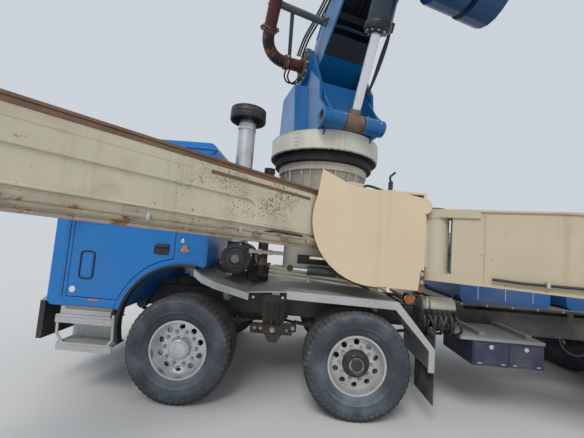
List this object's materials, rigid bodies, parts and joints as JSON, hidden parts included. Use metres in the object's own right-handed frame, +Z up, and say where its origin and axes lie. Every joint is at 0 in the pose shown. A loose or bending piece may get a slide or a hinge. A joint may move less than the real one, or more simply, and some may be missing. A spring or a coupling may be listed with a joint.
{
  "type": "concrete pump truck",
  "caption": "Concrete pump truck with a folding boom on a slewing turret, spread outriggers, rear hopper and a forward cab on a twin-steer chassis.",
  "frame": {"origin": "middle of the whole machine's outline on the ground, boom and outriggers as they stand", "axes": "+X forward along the truck, +Y to the truck's left, +Z up"},
  "size_m": [11.705, 10.6806, 10.0786],
  "materials": {
    "frame_steel": "dark grey chassis paint, dusty",
    "cab_blue": "blue cab paint, satin",
    "boom_blue": "bright blue enamel, worn on the edges",
    "cream": "cream paint with grime and concrete splatter",
    "glass": "tinted glass",
    "trim": "matt black",
    "tread_plate": "chequered plate",
    "tyre": "dusty rubber",
    "amber": "lamp lenses",
    "chrome_rod": "ground rod",
    "barrel": "dark blue",
    "steel": "bare steel",
    "jack": "grey jack tube and foot",
    "pipe_red": "dull red concrete pipe",
    "black_metal": "black paint"
  },
  "bodies": {
    "chassis": {"frame": "frame_steel", "front_axles": "frame_steel", "rear_axles": "frame_steel", "engine": "black_metal", "cab_shell": "cab_blue", "cab_glass": "glass", "cab_interior": "trim", "front_bumper": "trim", "steps_and_mudguards": "tread_plate", "lamps": "amber", "mirrors": "trim", "stacks": "steel", "air_cleaner": "black_metal", "side_boxes": "barrel", "valve_bank": "black_metal", "rear_deck": "boom_blue", "pedestal": "cream", "leg_housings": "cream", "pump_unit": "boom_blue", "hopper": "boom_blue", "delivery_line": "pipe_red"},
    "door_left": {"door_left": "cab_blue"},
    "door_right": {"door_right": "cab_blue"},
    "knuckle_1l": {"knuckle_1l": "frame_steel"},
    "knuckle_1r": {"knuckle_1r": "frame_steel"},
    "knuckle_2l": {"knuckle_2l": "frame_steel"},
    "knuckle_2r": {"knuckle_2r": "frame_steel"},
    "wheel_1l": {"wheel_1l": "tyre"},
    "wheel_1r": {"wheel_1r": "tyre"},
    "wheel_2l": {"wheel_2l": "tyre"},
    "wheel_2r": {"wheel_2r": "tyre"},
    "twin_3l": {"twin_3l": "tyre"},
    "twin_3r": {"twin_3r": "tyre"},
    "twin_4l": {"twin_4l": "tyre"},
    "twin_4r": {"twin_4r": "tyre"},
    "turret": {"turret": "boom_blue"},
    "lift_barrel": {"lift_barrel": "barrel"},
    "lift_rod": {"lift_rod": "chrome_rod"},
    "boom_1": {"boom_1": "boom_blue", "boom_pipe": "pipe_red"},
    "boom_2": {"boom_2": "boom_blue"},
    "boom_3": {"boom_3": "boom_blue"},
    "boom_4": {"boom_4": "boom_blue"},
    "fold2_barrel": {"fold2_barrel": "barrel"},
    "fold2_rod": {"fold2_rod": "chrome_rod"},
    "fold3_barrel": {"fold3_barrel": "barrel"},
    "fold3_rod": {"fold3_rod": "chrome_rod"},
    "fold4_barrel": {"fold4_barrel": "barrel"},
    "fold4_rod": {"fold4_rod": "chrome_rod"},
    "front_leg_left": {"front_leg_left": "cream"},
    "front_leg_right": {"front_leg_right": "cream"},
    "rear_leg_left": {"rear_leg_left": "cream"},
    "rear_leg_right": {"rear_leg_right": "cream"},
    "front_jack_left": {"front_jack_left": "jack"},
    "front_jack_right": {"front_jack_right": "jack"},
    "rear_jack_left": {"rear_jack_left": "jack"},
    "rear_jack_right": {"rear_jack_right": "jack"},
    "hopper_grate": {"hopper_grate": "frame_steel"},
    "agitator": {"agitator": "steel"}
  },
  "joints": [
    {"name": "steer_1l", "type": "hinge", "parent": "chassis", "child": "knuckle_1l", "pos_m": [4.28, -0.853, 0.545], "axis": [0, 0, 1], "range_deg": [-32, 32]},
    {"name": "spin_1l", "type": "hinge", "parent": "knuckle_1l", "child": "wheel_1l", "pos_m": [4.28, -0.608, 0.545], "axis": [0, 1, 0], "continuous": true},
    {"name": "steer_1r", "type": "hinge", "parent": "chassis", "child": "knuckle_1r", "pos_m": [4.28, -2.453, 0.545], "axis": [0, 0, 1], "range_deg": [-32, 32]},
    {"name": "spin_1r", "type": "hinge", "parent": "knuckle_1r", "child": "wheel_1r", "pos_m": [4.28, -2.698, 0.545], "axis": [0, 1, 0], "continuous": true},
    {"name": "steer_2l", "type": "hinge", "parent": "chassis", "child": "knuckle_2l", "pos_m": [2.45, -0.853, 0.545], "axis": [0, 0, 1], "range_deg": [-24, 24]},
    {"name": "spin_2l", "type": "hinge", "parent": "knuckle_2l", "child": "wheel_2l", "pos_m": [2.45, -0.608, 0.545], "axis": [0, 1, 0], "continuous": true},
    {"name": "steer_2r", "type": "hinge", "parent": "chassis", "child": "knuckle_2r", "pos_m": [2.45, -2.453, 0.545], "axis": [0, 0, 1], "range_deg": [-24, 24]},
    {"name": "spin_2r", "type": "hinge", "parent": "knuckle_2r", "child": "wheel_2r", "pos_m": [2.45, -2.698, 0.545], "axis": [0, 1, 0], "continuous": true},
    {"name": "spin_3l", "type": "hinge", "parent": "chassis", "child": "twin_3l", "pos_m": [-1.55, -0.563, 0.53], "axis": [0, 1, 0], "continuous": true},
    {"name": "spin_3r", "type": "hinge", "parent": "chassis", "child": "twin_3r", "pos_m": [-1.55, -2.743, 0.53], "axis": [0, 1, 0], "continuous": true},
    {"name": "spin_4l", "type": "hinge", "parent": "chassis", "child": "twin_4l", "pos_m": [-2.92, -0.563, 0.53], "axis": [0, 1, 0], "continuous": true},
    {"name": "spin_4r", "type": "hinge", "parent": "chassis", "child": "twin_4r", "pos_m": [-2.92, -2.743, 0.53], "axis": [0, 1, 0], "continuous": true},
    {"name": "door_left_hinge", "type": "hinge", "parent": "chassis", "child": "door_left", "pos_m": [5.494, -0.429, 1.5], "axis": [0, 0, -1], "range_deg": [0, 70]},
    {"name": "door_right_hinge", "type": "hinge", "parent": "chassis", "child": "door_right", "pos_m": [5.494, -2.877, 1.5], "axis": [0, 0, 1], "range_deg": [0, 70]},
    {"name": "slew", "type": "hinge", "parent": "chassis", "child": "turret", "pos_m": [2.85, -1.653, 2.91], "axis": [0, 0, 1], "range_deg": [-250, 120]},
    {"name": "boom_lift", "type": "hinge", "parent": "turret", "child": "boom_1", "pos_m": [2.82948, -1.59662, 4.28], "axis": [0.9397, 0.342, 0], "range_deg": [-40, 38]},
    {"name": "lift_barrel_tilt", "type": "hinge", "parent": "boom_1", "child": "lift_barrel", "pos_m": [2.13153, 0.32097, 6.19815], "axis": [0.9397, 0.342, 0], "range_deg": [-14, 14]},
    {"name": "lift_rod_slide", "type": "slide", "parent": "lift_barrel", "child": "lift_rod", "axis": [0.1384, -0.3804, -0.9144], "range_m": [-1.15, 0.95]},
    {"name": "boom_2_fold", "type": "hinge", "parent": "boom_1", "child": "boom_2", "pos_m": [0.1381, 4.92075, 9.45787], "axis": [0.9397, 0.342, 0], "range_deg": [0, 178]},
    {"name": "boom_3_fold", "type": "hinge", "parent": "boom_2", "child": "boom_3", "pos_m": [1.53641, -0.38297, 4.53976], "axis": [-0.9397, -0.342, 0], "range_deg": [0, 178]},
    {"name": "boom_4_fold", "type": "hinge", "parent": "boom_3", "child": "boom_4", "pos_m": [-0.40971, 4.42304, 9.91865], "axis": [-0.9397, -0.342, 0], "range_deg": [0, 178]},
    {"name": "fold2_barrel_tilt", "type": "hinge", "parent": "boom_1", "child": "fold2_barrel", "pos_m": [1.76775, 2.6508, 8.11191], "axis": [0.9397, 0.342, 0], "range_deg": [-15, 15]},
    {"name": "fold2_rod_slide", "type": "slide", "parent": "fold2_barrel", "child": "fold2_rod", "axis": [-0.2972, 0.8165, 0.4949], "range_m": [-0.1, 0.85]},
    {"name": "fold3_barrel_tilt", "type": "hinge", "parent": "boom_3", "child": "fold3_barrel", "pos_m": [0.50022, 1.17744, 6.17913], "axis": [0.9397, 0.342, 0], "range_deg": [-15, 15]},
    {"name": "fold3_rod_slide", "type": "slide", "parent": "fold3_barrel", "child": "fold3_rod", "axis": [0.2783, -0.7645, -0.5814], "range_m": [-0.1, 0.85]},
    {"name": "fold4_barrel_tilt", "type": "hinge", "parent": "boom_3", "child": "fold4_barrel", "pos_m": [-0.1352, 2.92326, 7.85196], "axis": [0.9397, 0.342, 0], "range_deg": [-15, 15]},
    {"name": "fold4_rod_slide", "type": "slide", "parent": "fold4_barrel", "child": "fold4_rod", "axis": [-0.2193, 0.6026, 0.7673], "range_m": [-0.1, 0.85]},
    {"name": "front_leg_left_slide", "type": "slide", "parent": "chassis", "child": "front_leg_left", "axis": [0.7424, 0.6684, 0.0454], "range_m": [-1.05, 0]},
    {"name": "front_jack_left_slide", "type": "slide", "parent": "front_leg_left", "child": "front_jack_left", "axis": [0, 0, 1], "range_m": [0, 0.45]},
    {"name": "rear_leg_left_swing", "type": "hinge", "parent": "chassis", "child": "rear_leg_left", "pos_m": [1.7, -0.533, 1.8], "axis": [0, 0, 1], "range_deg": [-35, 24]},
    {"name": "rear_jack_left_slide", "type": "slide", "parent": "rear_leg_left", "child": "rear_jack_left", "axis": [0, 0, 1], "range_m": [0, 0.45]},
    {"name": "front_leg_right_slide", "type": "slide", "parent": "chassis", "child": "front_leg_right", "axis": [0.7424, -0.6684, 0.0454], "range_m": [-1.05, 0]},
    {"name": "front_jack_right_slide", "type": "slide", "parent": "front_leg_right", "child": "front_jack_right", "axis": [0, 0, 1], "range_m": [0, 0.45]},
    {"name": "rear_leg_right_swing", "type": "hinge", "parent": "chassis", "child": "rear_leg_right", "pos_m": [1.7, -2.773, 1.8], "axis": [0, 0, -1], "range_deg": [-35, 24]},
    {"name": "rear_jack_right_slide", "type": "slide", "parent": "rear_leg_right", "child": "rear_jack_right", "axis": [0, 0, 1], "range_m": [0, 0.45]},
    {"name": "hopper_grate_hinge", "type": "hinge", "parent": "chassis", "child": "hopper_grate", "pos_m": [-4.765, -1.653, 1.498], "axis": [0, 1, 0], "range_deg": [0, 95]},
    {"name": "agitator_spin", "type": "hinge", "parent": "chassis", "child": "agitator", "pos_m": [-5.31, -1.653, 1.05], "axis": [0, 1, 0], "continuous": true}
  ],
  "couplings": [
    {"joint": "steer_1r", "follows": "steer_1l", "ratio": 1},
    {"joint": "steer_2l", "follows": "steer_1l", "ratio": 0.75},
    {"joint": "steer_2r", "follows": "steer_1l", "ratio": 0.75},
    {"joint": "lift_barrel_tilt", "follows": "boom_lift", "ratio": -0.07},
    {"joint": "lift_rod_slide", "follows": "boom_lift", "m_per_rad": 1.12},
    {"joint": "boom_3_fold", "follows": "boom_2_fold", "ratio": 1},
    {"joint": "fold2_barrel_tilt", "follows": "boom_2_fold", "ratio": -0.074053},
    {"joint": "fold2_rod_slide", "follows": "boom_2_fold", "m_per_rad": 0.22895},
    {"joint": "fold3_barrel_tilt", "follows": "boom_2_fold", "ratio": 0.037061},
    {"joint": "fold3_rod_slide", "follows": "boom_2_fold", "m_per_rad": 0.26813},
    {"joint": "fold4_barrel_tilt", "follows": "boom_4_fold", "ratio": 0.084281},
    {"joint": "fold4_rod_slide", "follows": "boom_4_fold", "m_per_rad": 0.19476}
  ]
}
